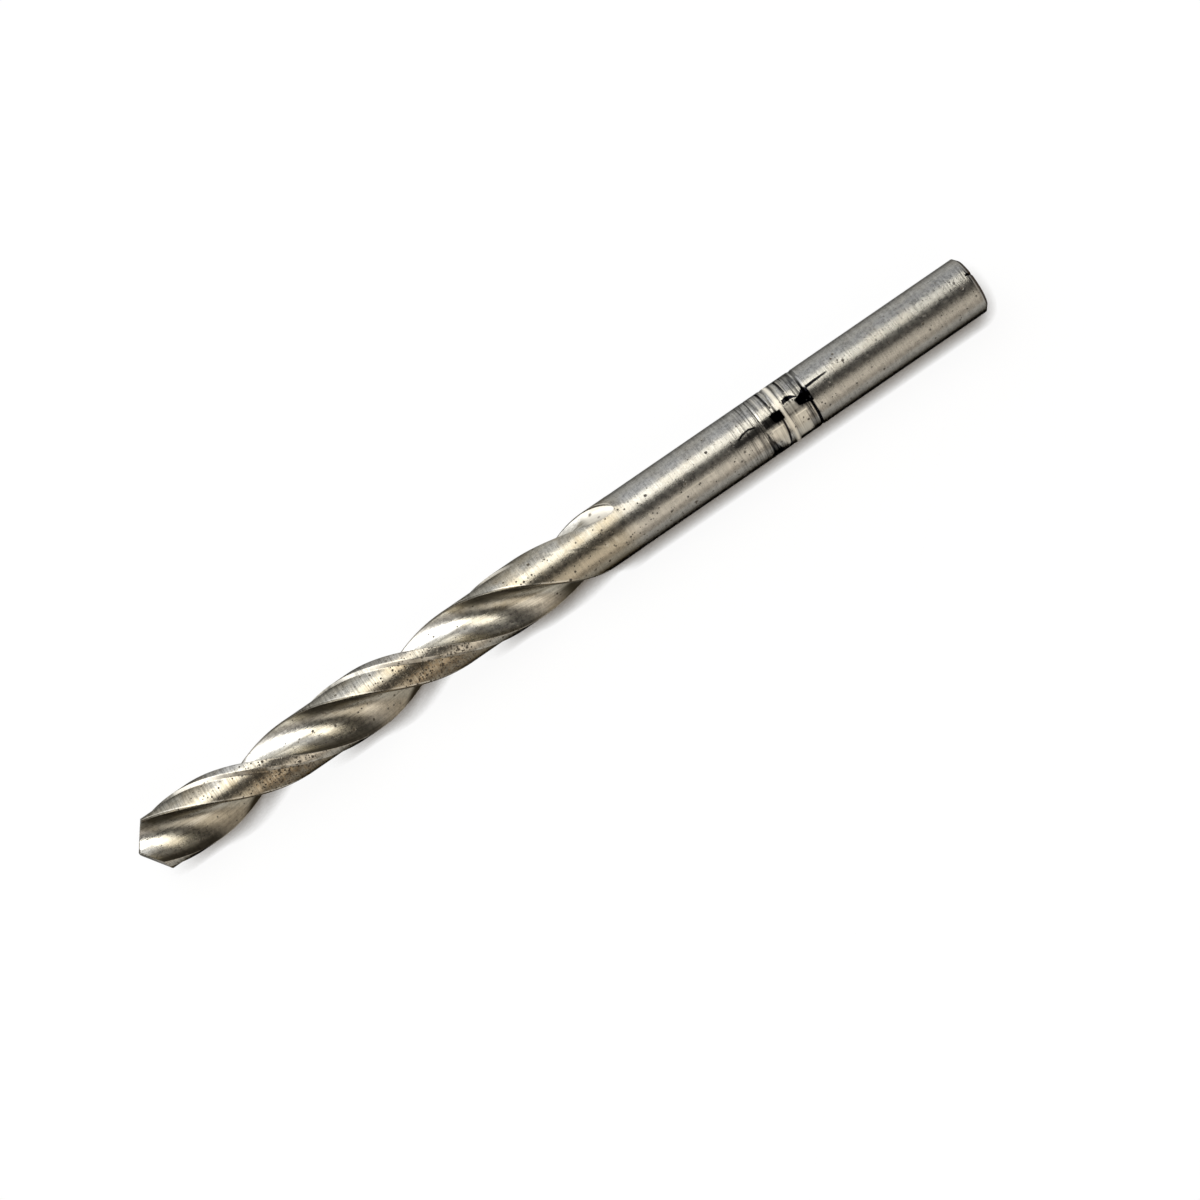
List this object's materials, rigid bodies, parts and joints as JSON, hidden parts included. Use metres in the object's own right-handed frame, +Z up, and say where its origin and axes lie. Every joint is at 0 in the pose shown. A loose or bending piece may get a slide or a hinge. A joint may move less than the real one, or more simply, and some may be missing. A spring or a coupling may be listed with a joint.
{
  "type": "twist drill bit",
  "caption": "Right-hand twist drill bit with helical flutes, lands ground lower behind a margin, a conical point and a plain shank scored where a chuck slipped.",
  "frame": {"origin": "middle of the flat at the shank's end", "axes": "+X along the drill's axis, out of the shank's end, with the point toward -X; +Z up, with the drill lying on its side"},
  "size_m": [0.086, 0.0054, 0.0054],
  "materials": {
    "high_speed_steel": "ground bright, dulled, with rust specks and a scored band on the shank"
  },
  "bodies": {
    "root": {"drill_bit": "high_speed_steel"}
  },
  "joints": []
}
